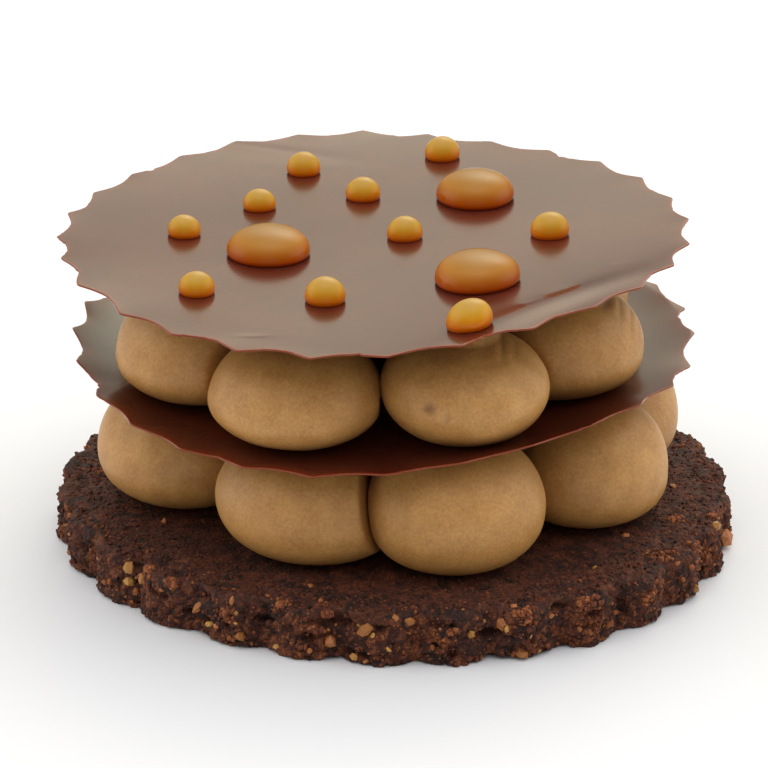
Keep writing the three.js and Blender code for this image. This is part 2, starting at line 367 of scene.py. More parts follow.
# %% Outline and profile of the base
BASE_CREST = 40.1
BASE_HEIGHT = 5.9
SCALLOPS = 28
SCALLOP_DEPTH = 1.55
SCALLOP_FADE = 8
BASE_WANDER = np.radians(2.5)
BASE_WANDER_LEAD = np.radians(47)
CUSP_TURN = np.radians(0.7)
BASE_SWELLS = [(1, 0.25, -80), (2, 0.35, 30), (3, 0.35, 28)]
BASE_STEPS = 1120
SIDE_ROWS = 30
EDGE_ROWS = 6
TOP_ROWS = 42
EDGE_ROUND = 1.3
HIDDEN_INSET = 38.0
UNDER_INSETS = np.array([HIDDEN_INSET, 24, 10, 4, 1.5, 0.5, 0.2])
FIRST_SIDE_HEIGHT = 0.12
TOP_STEP = 0.28
TOP_STEP_GROWTH = 0.055
EVEN_TOP_ROWS = 20


def base_spot(even_turn, share):
    """x and y on the base. The turn wanders a little: turn - a sin(2 turn - lead). The reach is a share of
    the rim, which swells slowly and dips at each cusp, 1 - |sin|. The dips fade away from the rim."""
    turn = even_turn - BASE_WANDER * np.sin(2 * even_turn - BASE_WANDER_LEAD) + CUSP_TURN
    cusp = 1 - np.abs(np.sin(SCALLOPS * even_turn / 2))
    dip = SCALLOP_DEPTH * cusp * share**SCALLOP_FADE
    return place(turn, share * (BASE_CREST + swell(BASE_SWELLS, turn) - dip))


def base_profile():
    """Inset from the rim and height along the section: out under the base, up the side, over a rounded
    edge (a quarter circle), and in over the top, in steps that widen where the balls hide it."""
    under = together(UNDER_INSETS, 0)
    side = together(0, np.linspace(FIRST_SIDE_HEIGHT, BASE_HEIGHT - EDGE_ROUND, SIDE_ROWS))
    bend = np.linspace(0, np.pi / 2, EDGE_ROWS + 1)[1:]
    edge = together(EDGE_ROUND * (1 - np.cos(bend)), BASE_HEIGHT - EDGE_ROUND * (1 - np.sin(bend)))
    row = np.arange(1, TOP_ROWS + 1)
    wider = TOP_STEP_GROWTH * np.maximum(row - EVEN_TOP_ROWS, 0) ** 2
    top = together(EDGE_ROUND + TOP_STEP * row + wider, BASE_HEIGHT)
    return np.vstack([under, side, edge, top, [[HIDDEN_INSET, BASE_HEIGHT]]])


profile = base_profile()
turns, insets = np.meshgrid(even_turns(BASE_STEPS), profile[:, 0])
heights = np.repeat(profile[:, 1:], BASE_STEPS, axis=1)
base_x, base_y = base_spot(turns, 1 - insets / BASE_CREST)
smooth_base = together(base_x, base_y, heights)
print("base:", smooth_base.shape, "reach", np.hypot(base_x, base_y).max())

# %% [markdown]
# Some dark holes of the real biscuit have places of their own. Each is a bell-shaped dent.

# %% Holes in the side
# Turn in degrees, height in mm, half width, half height.
CAVES = [
    (-50.6, 5.1, 1.0, 0.6), (-50.8, 3.2, 0.7, 0.5), (-34.1, 4.9, 1.1, 0.6), (-14.2, 2.6, 1.2, 0.5),
    (-10.2, 4.5, 2.2, 0.55), (-3.1, 4.4, 1.0, 0.5), (14.3, 3.2, 1.5, 0.5), (26.1, 4.9, 0.9, 0.5),
    (32.2, 3.6, 1.9, 0.5), (47.0, 2.8, 1.2, 0.7), (62.0, 3.8, 0.8, 1.1),
]


def cave_share(points):
    """1 in the middle of a cave and 0 outside: a bell over turn and height for each, the largest wins."""
    turn = turn_of(points[..., 0], points[..., 1])
    share = np.zeros(turn.shape)
    for cave_turn, height, half_width, half_height in CAVES:
        off_turn = (turn - np.radians(cave_turn) + np.pi) % (2 * np.pi) - np.pi
        beside = off_turn * BASE_CREST / half_width
        above = (points[..., 2] - height) / half_height
        share = np.maximum(share, np.exp(-(beside**2) - above**2))
    return share


# %% [markdown]
# The relief has four parts. Slow lumps move the whole side. Grains of about 1.5 mm stand out as domes with
# cracks between them. Smaller grains roughen those. Caves go deep where a slow noise is high, and at the
# named holes. The edge is worn, so it is rough in places, and the rolled top only waves a little.

# %% Relief of the base
BIG_GRAIN = 1.5
SMALL_GRAIN = 0.6
BIG_DOME = 0.42
SMALL_DOME = 0.34
CRACK_DEPTH = 0.32
CRACK_WIDTH = 0.10
CAVE_DEPTH = 1.2
TOP_ROUGHNESS = 0.16
# Height, size, seed.
ROLLED_WAVES = [(0.14, 6.0, 62), (0.13, 1.5, 63), (0.10, 0.6, 64)]
FLAT_ROWS = len(UNDER_INSETS) - 2

side_share = np.clip(outward(smooth_base)[..., 2], 0, 1)
side_share = 1 - smooth_step(0.2, 0.98, side_share)
torn = side_share * (0.8 + 0.3 * soft_noise(smooth_base, 5.0, 11))
worn_edge = np.exp(-(((insets - 1.4) / 2.2) ** 2)) * (heights > BASE_HEIGHT / 2) * (1 - side_share)
worn = 0.8 * worn_edge * (0.5 + soft_noise(smooth_base, 3.5, 12))
rough = np.clip(torn + worn + TOP_ROUGHNESS, 0, 1.1)

bent = smooth_base + soft_noise(smooth_base, 0.9, 5)[..., None] * 0.3
near_big, gap_big, grain_big = grain_noise(bent, BIG_GRAIN, 21)
near_small, _, grain_small = grain_noise(bent, SMALL_GRAIN, 31)
domes = BIG_DOME * (0.52 - near_big) + SMALL_DOME * (0.5 - near_small)
cracks = CRACK_DEPTH * np.exp(-((gap_big / CRACK_WIDTH) ** 2)) * (grain_big > 0.4)
lumps = 0.24 * soft_noise(smooth_base, 3.4, 41)
fine = 0.11 * soft_noise(smooth_base, 0.33, 61)
wild_caves = smooth_step(0.45, 0.75, soft_noise(smooth_base * (1, 1, 1.6), 1.9, 51)) * side_share
caves = np.maximum(cave_share(smooth_base), 0.7 * wild_caves)
caves = caves * np.clip(side_share + 0.3 * worn_edge, 0, 1)
rolled = layers(smooth_base, ROLLED_WAVES)
relief = rough * (lumps + domes - cracks + fine - 0.1) - CAVE_DEPTH * caves + rolled * (1 - side_share)
relief[:FLAT_ROWS] = 0

base_points = smooth_base + outward(smooth_base) * relief[..., None]
base_points[..., 2] = np.maximum(base_points[..., 2], 0)
base_points[:FLAT_ROWS, :, 2] = 0
print("relief from", round(relief.min(), 2), "to", round(relief.max(), 2), "mm")

# %% [markdown]
# Colour follows the grains: most are dark cocoa, and some are bare crumb that baked orange-brown. The number
# painted here says how bare a grain is, and the material turns it into a colour and adds a finer speckle.

# %% Biscuit material and mesh
COCOA_DARK = linear(28, 10, 6)
COCOA_LIGHT = linear(88, 43, 27)
CRUMB_DARK = linear(110, 57, 30)
CRUMB_LIGHT = linear(176, 106, 58)
NUT_DARK = linear(154, 96, 38)
NUT_LIGHT = linear(212, 162, 82)

biscuit = Finish("cocoa_biscuit", Roughness=0.75, Specular_IOR_Level=0.35)
mixed_speckle = biscuit.blend(0.5, biscuit.noise(0.5, 3.0, 0.7), biscuit.noise(2.2, 2.0))
speckle = biscuit.ramp(mixed_speckle, [(0.40, COCOA_DARK), (0.62, COCOA_LIGHT)])
crumb_stops = [(0.3, COCOA_LIGHT), (0.5, CRUMB_DARK), (0.72, CRUMB_LIGHT)]
crumb_speckle = biscuit.ramp(biscuit.noise(0.3, 2.0, 0.6), crumb_stops)
biscuit.colour(biscuit.blend(biscuit.number("bare_crumb"), speckle, crumb_speckle))
biscuit.bump(biscuit.noise(0.22, 2.0), 0.08)
biscuit.bump(biscuit.texture("ShaderNodeTexVoronoi", 0.38)["Distance"], 0.12)

bare_big = smooth_step(0.72, 0.78, grain_big) * 0.7 * side_share
bare_small = smooth_step(0.76, 0.84, grain_small) * 0.8 * np.maximum(side_share, 0.45)
bare = np.maximum(bare_big, bare_small) * (1 - caves)
make_round("biscuit", base_points, biscuit.material, "biscuit", "sable_base", bare_crumb=bare)

# %% [markdown]
# ### Loose crumbs and nut grains
# Crumbs stand out of the torn side and lie on the edge. Each is a crooked block of twenty faces: an
# icosahedron with every corner pushed in or out by chance and the whole turned and stretched. All crumbs of
# one kind are one mesh, made by multiplying arrays, so there is no loop over crumbs.

# %% Crooked grains from arrays
GOLDEN = (1 + 5**0.5) / 2
SIGNS = list(product((-1, 1), repeat=2))
BLOCK_CORNERS = np.array(
    [(0, a, b * GOLDEN) for a, b in SIGNS]
    + [(a, b * GOLDEN, 0) for a, b in SIGNS]
    + [(a * GOLDEN, 0, b) for a, b in SIGNS]
) / np.hypot(1, GOLDEN)
CORNERS = len(BLOCK_CORNERS)
CROOKED = 0.22


def block_faces():
    """The twenty triangles of the icosahedron: all triples of corners that are one edge apart, turned so
    that they face outwards."""
    apart = np.linalg.norm(BLOCK_CORNERS[:, None] - BLOCK_CORNERS[None], axis=-1)
    edge = apart[apart > 0].min() * 1.01
    faces = []
    for a, b, c in product(range(CORNERS), repeat=3):
        if a < b < c and max(apart[a, b], apart[b, c], apart[a, c]) < edge:
            pa, pb, pc = BLOCK_CORNERS[[a, b, c]]
            faces.append((a, b, c) if np.cross(pb - pa, pc - pa) @ pa > 0 else (a, c, b))
    return np.array(faces)


BLOCK_FACES = block_faces()


def random_turns(dice, count):
    """Rotation matrices from random unit quaternions, in which all turns are equally likely."""
    w, x, y, z = np.moveaxis(dice.normal(size=(count, 4)), 1, 0)
    size = np.sqrt(w * w + x * x + y * y + z * z)
    w, x, y, z = (part / size for part in (w, x, y, z))
    rows = [
        [1 - 2 * (y * y + z * z), 2 * (x * y - w * z), 2 * (x * z + w * y)],
        [2 * (x * y + w * z), 1 - 2 * (x * x + z * z), 2 * (y * z - w * x)],
        [2 * (x * z - w * y), 2 * (y * z + w * x), 1 - 2 * (x * x + y * y)],
    ]
    return np.moveaxis(np.array(rows), 2, 0)


def crooked_grains(dice, middles, radii, stretch):
    """Points and faces of one grain at each middle. Its sides stretch by up to the given share."""
    count = len(middles)
    push = 1 + dice.uniform(-CROOKED, CROOKED, (count, CORNERS, 1))
    sides = 1 + dice.uniform(-stretch, stretch, (count, 1, 3))
    corners = BLOCK_CORNERS[None] * push * sides * radii[:, None, None]
    points = np.einsum("nij,nkj->nki", random_turns(dice, count), corners) + middles[:, None]
    faces = BLOCK_FACES[None] + CORNERS * np.arange(count)[:, None, None]
    points[..., 2] = np.maximum(points[..., 2], 0)
    return points.reshape(-1, 3), faces.reshape(-1, 3).tolist()


def scatter(name, dice, middles, radii, stretch, finish, tones):
    """One piece of many crooked grains. Each grain gets its own tone from 0 to 1, which the finish turns
    into a colour by the given stops."""
    speck = finish.blend(0.3, finish.number("tone"), finish.noise(0.5, 2.0))
    finish.colour(finish.ramp(speck, tones))
    finish.bump(finish.noise(0.15), 0.05)
    points, faces = crooked_grains(dice, middles, radii, stretch)
    piece = make_piece(name, points, faces, finish.material, smooth=False)
    paint(piece, "tone", np.repeat(dice.random(len(middles)), CORNERS))
    print(name, len(middles), "grains")


# %% [markdown]
# Where they sit: the grid of the base already knows its own surface, so a grain picks a point of that grid
# and sits half sunk in it. Clusters of bare crumb and the larger nuts have places of their own, as on the
# real biscuit. Behind, where the photograph shows nothing, both are guessed.

# %% Places of clusters and nuts
# Clusters of bare crumb: turn in degrees, inset from the rim, height, half width (mm). Inset 0 is the side.
CLUSTERS = [
    (-93.6, 5.0, 5.9, 0.8), (-46.5, 1.2, 5.9, 1.1), (-40.0, 0.6, 5.6, 0.9), (-29.0, 0, 3.4, 0.9),
    (-19.3, 1.6, 5.9, 1.0), (-11.0, 0.3, 5.8, 0.8), (6.5, 0, 3.3, 1.6), (20.1, 0, 5.0, 1.3),
    (30.4, 0, 5.2, 1.5), (31.5, 0, 2.2, 1.5), (44.0, 0, 3.2, 1.1), (52.1, 3.0, 5.9, 1.8),
    (59.2, 0, 5.4, 1.1), (64.7, 0, 2.5, 1.3), (67.9, 5.5, 5.9, 1.0), (72.1, 1.5, 5.9, 0.9),
    (100, 0, 3.5, 1.4), (128, 0, 4.5, 1.2), (155, 0.5, 5.6, 1.3), (171, 0, 3.0, 1.5),
    (196, 0, 4.2, 1.2), (214, 1.0, 5.9, 1.1), (236, 0, 3.0, 1.4), (255, 0, 4.8, 1.2),
]
# Nut grains: turn in degrees, inset from the rim, height, radius (mm).
NUTS = [
    (-63.1, 10.0, 5.9, 0.35), (-51.6, 0, 4.7, 0.62), (-49.8, 0, 2.0, 0.5), (-26.5, 0, 1.5, 0.75),
    (-27.8, 0.3, 5.5, 0.4), (-17.1, 6.6, 5.9, 0.3), (-10.7, 0, 2.2, 0.62), (-7.3, 0, 0.8, 0.6),
    (-5.3, 0, 4.1, 0.66), (-4.1, 0, 3.6, 0.36), (-6.5, 0, 4.5, 0.3), (-0.4, 0.4, 5.7, 0.45),
    (1.9, 0, 4.9, 0.6), (10.9, 0, 3.4, 0.55), (15.3, 0, 4.2, 0.74), (16.9, 0, 3.7, 0.42),
    (14.0, 0, 4.6, 0.36), (18.4, 1.5, 5.9, 0.4), (19.3, 0, 0.6, 0.8), (25.3, 0, 4.0, 0.4),
    (38.2, 5.6, 5.9, 0.3), (55.7, 8.6, 5.9, 0.55), (56.5, 0, 1.4, 0.6), (68.4, 0, 5.4, 0.5),
    (79.1, 0, 1.4, 0.8), (85.0, 6.8, 5.9, 0.5), (-72.0, 0, 1.5, 0.5), (-80.0, 0, 2.6, 0.45),
]


def nearest_on_base(turn, inset, height):
    """Points of the finished base whose smooth place is nearest to a turn, an inset and a height. A grain at
    inset 0 looks for the side."""
    x, y = place(turn, BASE_CREST + swell(BASE_SWELLS, turn) - 0.5 * SCALLOP_DEPTH * (inset == 0) - inset)
    wanted = together(x, y, height)
    smooth = smooth_base.reshape(-1, 3)
    steps = np.array([np.argmin(((smooth - spot) ** 2).sum(axis=1)) for spot in wanted])
    return base_points.reshape(-1, 3)[steps]


print("named clusters:", len(CLUSTERS), "named nuts:", len(NUTS))

# %% [markdown]
# Bare crumb is biscuit whose dark skin broke away. A cluster is many small crumbs thrown round one place,
# closer together at its middle, which looks more like torn crumb than a few large lumps would.

# %% Clusters of bare crumb
PER_CLUSTER = 75
CLUSTER_SPREAD = 0.42

dice = np.random.default_rng(7)
clusters = np.array(CLUSTERS)
chosen = np.repeat(np.arange(len(clusters)), PER_CLUSTER)
crumbs = len(chosen)
cluster_turn, cluster_inset, cluster_height, spread = clusters[chosen].T
cluster_turn = np.radians(cluster_turn) + dice.normal(0, 0.5, crumbs) * spread / BASE_CREST
cluster_height = cluster_height + dice.normal(0, CLUSTER_SPREAD, crumbs) * spread
cluster_height = np.clip(cluster_height, 0.2, BASE_HEIGHT)
cluster_inset = cluster_inset + (cluster_inset > 0) * dice.normal(0, CLUSTER_SPREAD, crumbs) * spread
crumb_places = nearest_on_base(cluster_turn, np.maximum(cluster_inset, 0), cluster_height)
crumb_radii = 0.11 + 0.24 * dice.random(crumbs) ** 2
bare_finish = Finish("bare_crumb", Roughness=0.75, Specular_IOR_Level=0.35)
bare_tones = [(0.1, COCOA_LIGHT), (0.45, CRUMB_DARK), (0.95, CRUMB_LIGHT)]
scatter("bare_crumbs", dice, crumb_places, crumb_radii, 0.25, bare_finish, bare_tones)

# %% [markdown]
# Loose cocoa crumbs cling to the torn side and the worn edge, most of them tiny. The rolled top has a fine
# sand of crumb as well, half pressed in, which breaks up its outline and its shine.

# %% Stray crumbs
SIDE_CRUMBS = 3600
EDGE_CRUMBS = 1400
TOP_CRUMBS = 8000
PRESSED_IN = 0.03

grid_points = base_points.reshape(-1, 3)
on_side = np.flatnonzero((side_share > 0.35).ravel() & (smooth_base[..., 2] > 0.3).ravel())
on_edge = np.flatnonzero((worn_edge > 0.05).ravel())
stray_side = dice.choice(on_side, SIDE_CRUMBS, replace=False)
stray_edge = dice.choice(on_edge, EDGE_CRUMBS, replace=False)
stray_places = grid_points[np.concatenate([stray_side, stray_edge])]
stray_radii = 0.09 + 0.26 * dice.random(len(stray_places)) ** 3
cocoa_finish = Finish("cocoa_crumb", Roughness=0.75, Specular_IOR_Level=0.35)
cocoa_tones = [(0.15, COCOA_DARK), (0.5, COCOA_LIGHT), (0.7, CRUMB_DARK), (0.95, CRUMB_LIGHT)]
scatter("cocoa_crumbs", dice, stray_places, stray_radii, 0.3, cocoa_finish, cocoa_tones)

on_top = np.flatnonzero(((side_share < 0.35) & (insets > 1) & (insets < 17) & (heights > 3)).ravel())
top_places = grid_points[dice.choice(on_top, TOP_CRUMBS, replace=False)]
top_places[:, 2] -= PRESSED_IN
top_radii = 0.07 + 0.16 * dice.random(TOP_CRUMBS) ** 2
top_finish = Finish("rolled_crumb", Roughness=0.75, Specular_IOR_Level=0.25)
top_tones = [(0.15, COCOA_DARK), (0.6, COCOA_LIGHT), (0.85, CRUMB_DARK), (0.98, CRUMB_LIGHT)]
scatter("top_crumbs", dice, top_places, top_radii, 0.3, top_finish, top_tones)

# %% [markdown]
# Chopped nut is pale, a little glossy and lets some light in, so its finish has a low subsurface share. The
# named grains come first, then the ones behind, then a pinch of tiny ones all round.

# %% Nut grains
BACK_NUTS = 45
TINY_NUTS = 34
BEHIND = 1.6

nuts = np.array(NUTS)
nut_places = nearest_on_base(np.radians(nuts[:, 0]), nuts[:, 1], nuts[:, 2])
behind = on_side[turn_of(grid_points[on_side, 0], grid_points[on_side, 1]) % (2 * np.pi) > BEHIND]
back_places = grid_points[dice.choice(behind, BACK_NUTS)]
tiny_places = grid_points[dice.choice(on_side, TINY_NUTS)]
nut_places = np.vstack([nut_places, back_places, tiny_places])
back_radii = 0.3 + 0.5 * dice.random(BACK_NUTS) ** 2
tiny_radii = 0.10 + 0.14 * dice.random(TINY_NUTS)
nut_radii = np.concatenate([nuts[:, 3], back_radii, tiny_radii])
nut_finish = Finish(
    "nut_grain", Roughness=0.5,
    Subsurface_Weight=0.2, Subsurface_Scale=0.4 * MM, Subsurface_Radius=(1.0, 0.7, 0.35),
)
nut_tones = [(0.1, CRUMB_LIGHT), (0.55, NUT_DARK), (0.95, NUT_LIGHT)]
scatter("nut_grains", dice, nut_places, nut_radii, 0.45, nut_finish, nut_tones)

# %% [markdown]
# ## Chocolate discs
# Tempered chocolate spread thin on a sheet and cut with a toothed round cutter before it was hard. As it set
# it warped: the middle lies on the balls and the rim lifts. One height function per disc gives that warp, as
# a tilted plane plus waves that grow towards the rim. It comes first, because the balls are pressed against
# the discs and the drops stand on one. Where the rim sags, a droop bends it down over a few degrees. Ridges
# and dents are bells, stretched and turned, added to it.

# %% Height of the discs
DISC_THICKNESS = 0.5
TEETH = 28
TOOTH_DEPTH = 1.2
TOOTH_FADE = 20
FLUTTER_POWER = 22

# Each warp: lobes, height, turn of one crest. Each droop: turn, half width, drop, power of the share of the
# radius. Stretch: turn, half width, how much further the rim reaches. Each chip: turn, half width, depth.
# Turns and their half widths are degrees. Glow is how far in from the rim the sheet glows, in mm.
MIDDLE_DISC = dict(
    middle=(-1.9, 1.0), radius=36.3, tooth_turn=91, level=20.3, rise=1.05, rise_crest=171,
    rim_lift=2.85, power=5, warps=[(1, 0.67, 171), (2, 1.13, 73), (3, 0.6, 27.3), (4, 0.15, -35.7)],
    bells=[], flutter=0.18, seed=3, glow=0.8,
    droops=[(78, 9, -1.2, 12), (65, 9, -0.6, 12), (-84, 14, 0.35, 6)], stretch=(112, 20, 1.3),
    chips=[
        (38.2, 0.5, 0.45), (40.4, 0.6, 0.5), (42.1, 0.6, 0.4), (-30.8, 0.9, 0.3), (-10.5, 0.7, 0.3),
        (-67.9, 2.0, 0.35), (101.0, 2.0, 0.5), (171, 0.9, 0.5), (215, 1.5, 0.6),
    ],
)
# Each bell: middle (x, y), direction in degrees from +X, half length, half width, height.
TOP_DISC = dict(
    middle=(-2.9, 1.0), radius=36.7, tooth_turn=92.3, level=35.5, rise=1.27, rise_crest=157,
    rim_lift=1.0, power=4, warps=[(2, 0.5, 72), (3, 0.43, 53), (4, 0.33, 27.3)],
    bells=[
        ((17.8, -22.8), 40.7, 13.0, 2.5, 0.55),
        ((-15.0, -31.0), -26.0, 13.0, 3.0, 0.14),
        ((-15.7, -28.9), 2.0, 1.7, 0.40, -0.09),
        ((18.0, -19.0), 45.0, 2.6, 1.1, -0.12),
        ((14.4, -22.6), 20.0, 1.3, 0.8, -0.08),
        ((24.6, -10.9), 5.0, 0.8, 0.16, -0.07),
        ((-17.0, 31.0), 165.0, 9.0, 1.8, 0.22),
    ],
    flutter=0.16, seed=5, glow=0.25,
    droops=[(-50, 20, -0.85, 4), (0, 36, -0.5, 1.5), (-84, 14, -0.4, 8)], stretch=(-64, 4, 0.7),
    chips=[(-2.7, 0.7, 0.35), (24.0, 0.6, 0.2), (140, 0.8, 0.4), (230, 0.7, 0.4)],
)


def bell(x, y, middle, direction, half_length, half_width, height):
    """A smooth hill (or a dent, if height is negative): exp(-a^2 - b^2), with a along a direction in degrees
    from +X and b across it, each in its own half size."""
    angle = np.radians(direction)
    dx = x - middle[0]
    dy = y - middle[1]
    along = (dx * np.cos(angle) + dy * np.sin(angle)) / half_length
    across = (dy * np.cos(angle) - dx * np.sin(angle)) / half_width
    return height * np.exp(-(along**2) - across**2)


def tooth_number(turn):
    """The nearest tooth as a lattice cell, and how near its tip is: 1 at the tip, 0 in the valleys."""
    tooth = turn * TEETH / (2 * np.pi)
    number = np.round(tooth).astype(np.int64)
    return together(number % TEETH, 0, 0), np.cos(np.pi * (tooth - number)) ** 2


def tooth_bend(disc, turn):
    """How far each tooth bends up or down: its own chance, full at its tip and none in the valleys."""
    cell, nearness = tooth_number(turn - np.radians(disc["tooth_turn"]))
    return disc["flutter"] * (2 * chance(cell, disc["seed"] + 3) - 1) * nearness


def off_degrees(turn, other):
    """Degrees from another turn (given in degrees), from -180 to 180."""
    return (np.degrees(turn) - other + 180) % 360 - 180


def disc_top(disc, x, y):
    """Height of a disc's upper face: tilted plane, plus warps that grow as a power of the share of the
    radius, plus the bend of each tooth, plus parts where the rim droops, plus bells."""
    dx = x - disc["middle"][0]
    dy = y - disc["middle"][1]
    share = np.minimum(np.hypot(dx, dy) / disc["radius"], 1)
    turn = turn_of(dx, dy)
    height = disc["level"] + disc["rise"] * share * np.cos(turn - np.radians(disc["rise_crest"]))
    height += (disc["rim_lift"] + swell(disc["warps"], turn)) * share ** disc["power"]
    height += tooth_bend(disc, turn) * share**FLUTTER_POWER
    for droop_turn, half_width, drop, power in disc["droops"]:
        height += drop * np.exp(-((off_degrees(turn, droop_turn) / half_width) ** 2)) * share**power
    for hill in disc["bells"]:
        height += bell(x, y, *hill)
    return height


print("top disc's middle at", disc_top(TOP_DISC, 0.0, 0.0), "mm")

# %% [markdown]
# Dark chocolate is almost black-red inside. Its pale grey look comes from the bright tent mirrored at a flat
# angle, so the base colour stays dark and the gloss does the rest. Where the sheet is thin, at its rim and
# its teeth, light comes through it and it glows red; that glow is painted into the base colour. Two numbers
# are painted on for that: 'glow', a painted red glow that fades over the last millimetre, and 'edge', a
# painted highlight on the cut edge itself.

# %% Chocolate material
CHOCOLATE = linear(88, 38, 26)
CHOCOLATE_DEEP = linear(76, 31, 21)
# Painted light: a red glow colour for light through the thin rim, and a highlight colour for the lit cut
# edge.
CHOCOLATE_GLOW = linear(146, 42, 12)
CHOCOLATE_EDGE_HIGHLIGHT = linear(150, 66, 30)

chocolate = Finish(
    "chocolate", Roughness=0.18, IOR=1.5, Specular_Tint=(1.0, 0.96, 0.72, 1.0),
    Subsurface_Weight=0.25, Subsurface_Scale=0.4 * MM, Subsurface_Radius=(1.0, 0.25, 0.1),
)
body_tone = chocolate.ramp(chocolate.noise(14, 3.0, 0.6), [(0.35, CHOCOLATE_DEEP), (0.65, CHOCOLATE)])
# The painted rim glow and the painted edge highlight are blended over the chocolate's own tone.
glowing = chocolate.blend(chocolate.number("glow"), body_tone, CHOCOLATE_GLOW)
chocolate.colour(chocolate.blend(chocolate.number("edge"), glowing, CHOCOLATE_EDGE_HIGHLIGHT))
chocolate.bump(chocolate.noise(7.0, 2.0), 0.035)
chocolate.bump(chocolate.noise(0.6, 2.0), 0.003)
print("chocolate nodes:", len(chocolate.tree.nodes))

# %% [markdown]
# The cutter leaves pointed teeth with round valleys between them, which is the shape of the size of a sine.
# Where the sheet was brittle, bits broke away. The edge is a little rounded, which catches the light, and the
# cut edge also gets a painted highlight.

# %% Disc meshes
STEPS_PER_TOOTH = 22
DISC_STEPS = TEETH * STEPS_PER_TOOTH
FACE_ROWS = 92
RIM_THICKNESS = 0.22
THIN_FROM = 0.93
# Strength of the painted rim glow, then strength and width of the painted highlight on the cut edge.
RIM_GLOW = 0.5
EDGE_HIGHLIGHT = 0.3
EDGE_HIGHLIGHT_WIDTH = 0.09


def disc_reach(disc, even_turn):
    """How far the rim reaches: the radius, more where the rim is stretched, less a valley between two teeth,
    less a ragged break here and there, less the named chips."""
    cell, _ = tooth_number(even_turn)
    depth = TOOTH_DEPTH * (0.9 + 0.2 * chance(cell, disc["seed"]))
    valley = np.sqrt(np.sin(TEETH * even_turn / 2) ** 2 + 0.004)
    x, y = place(even_turn, disc["radius"])
    spots = together(x, y, disc["seed"] * 10.0)
    broken = np.abs(soft_noise(spots, 0.45, disc["seed"]))
    ragged = 0.30 * broken * smooth_step(0.3, 0.7, soft_noise(spots, 5.0, 9))
    true_turn = even_turn + np.radians(disc["tooth_turn"])
    for chip_turn, half_width, chip_depth in disc["chips"]:
        off = off_degrees(true_turn, chip_turn)
        ragged += chip_depth * np.exp(-((off / half_width) ** 4)) * (0.5 + broken)
    stretch_turn, half_width, extra = disc["stretch"]
    longer = extra * np.exp(-((off_degrees(true_turn, stretch_turn) / half_width) ** 2))
    return disc["radius"] + longer - depth * valley - ragged


def disc_surface(disc):
    """Rings from the middle of the underside, over the rounded edge, to the middle of the top, and how far
    each point lies inside the rim. A ring is a share of the reach and a level through the thickness, from -1
    at the underside to 0 at the top. The sheet thins to its rim, where the cutter squeezed it."""
    face = np.linspace(0.02, 1, FACE_ROWS) ** 0.75
    face = face[face < 0.992]
    bend = np.linspace(-np.pi / 2, np.pi / 2, 7)
    edge_share = 1 - 0.7 * RIM_THICKNESS / 2 * (1 - np.cos(bend)) / disc["radius"]
    shares = np.concatenate([face[::2], edge_share, face[::-1]])
    levels = np.concatenate([np.full(len(face[::2]), -1.0), np.sin(bend) / 2 - 0.5, np.zeros(len(face))])
    turn, share = np.meshgrid(even_turns(DISC_STEPS), shares)
    level = np.repeat(levels[:, None], DISC_STEPS, axis=1)
    reach = disc_reach(disc, turn)
    distance = share * disc["radius"] - (disc["radius"] - reach) * share**TOOTH_FADE
    x, y = place(turn + np.radians(disc["tooth_turn"]), distance)
    x += disc["middle"][0]
    y += disc["middle"][1]
    thickness = DISC_THICKNESS - (DISC_THICKNESS - RIM_THICKNESS) * smooth_step(THIN_FROM, 1.0, share)
    z = disc_top(disc, x, y) + level * thickness
    return together(x, y, z), np.maximum(reach - distance, 0)


def make_disc(name, disc, node):
    rings, inside = disc_surface(disc)
    # 'glow' is a painted red glow near the rim, 'edge' a painted highlight on the cut edge.
    glow = RIM_GLOW * np.exp(-inside / disc["glow"])
    edge = EDGE_HIGHLIGHT * np.exp(-((inside / EDGE_HIGHLIGHT_WIDTH) ** 2))
    make_round(name, rings, chocolate.material, "chocolate", node, glow=glow, edge=edge)


make_disc("chocolate_middle", MIDDLE_DISC, "disc_middle")
make_disc("chocolate_top", TOP_DISC, "disc_top")

# %% [markdown]
# ## Piped ganache balls
# Whipped ganache piped through a plain nozzle: each ball swells until it meets its neighbours, rests on what
# is below and is pressed by the disc above. Where two meet, the firmer one keeps more of the room between
# them. No two are quite alike, so each has a row of its own: where it stands and its radii.

# %% Rows of balls
# Turn in degrees, reach, half width, half length, height of the widest level, firmness, dome, lean.
LOWER_BALLS = [
    (-80, 25.0, 10.8, 10.5, 6.2, 10, 1.15, -0.5),
    (-25, 23.6, 11.0, 9.05, 6.3, 9.5, 1.15, -0.4),
    (14.5, 25.2, 10.1, 9.2, 6.8, 12, 1.2, -0.6),
    (64.2, 24.3, 9.7, 9.0, 5.2, 10, 1.0, 0.6),
    (104, 24.6, 9.6, 9.6, 6.0, 9.5, 1.2, -0.3),
    (148, 24.2, 10.2, 9.8, 5.8, 10, 1.1, -0.8),
    (192, 24.6, 9.8, 9.5, 6.4, 10.5, 1.2, 0.3),
    (236, 24.0, 10.1, 9.9, 5.7, 10, 1.15, -0.5),
]
UPPER_BALLS = [
    (-67, 24.7, 9.8, 9.5, 4.9, 9.5, 1.0, -0.5),
    (-27.6, 24.8, 9.8, 9.4, 4.6, 10.4, 0.78, -0.6),
    (17.7, 23.8, 9.3, 9.3, 5.9, 10.4, 0.74, -0.8),
    (64.5, 20.1, 9.7, 9.8, 5.0, 9.3, 0.8, 0.5),
    (115, 20.0, 9.4, 9.1, 5.4, 9.8, 0.95, 0.2),
    (160, 22.6, 9.5, 9.6, 5.1, 10, 0.85, -0.7),
    (205, 23.4, 9.8, 9.2, 5.5, 9.8, 0.9, 0.4),
    (249, 22.8, 9.6, 8.9, 5.2, 10, 0.92, -0.4),
]
LOWER_SLUMP = 2.4
UPPER_SLUMP = 2.1
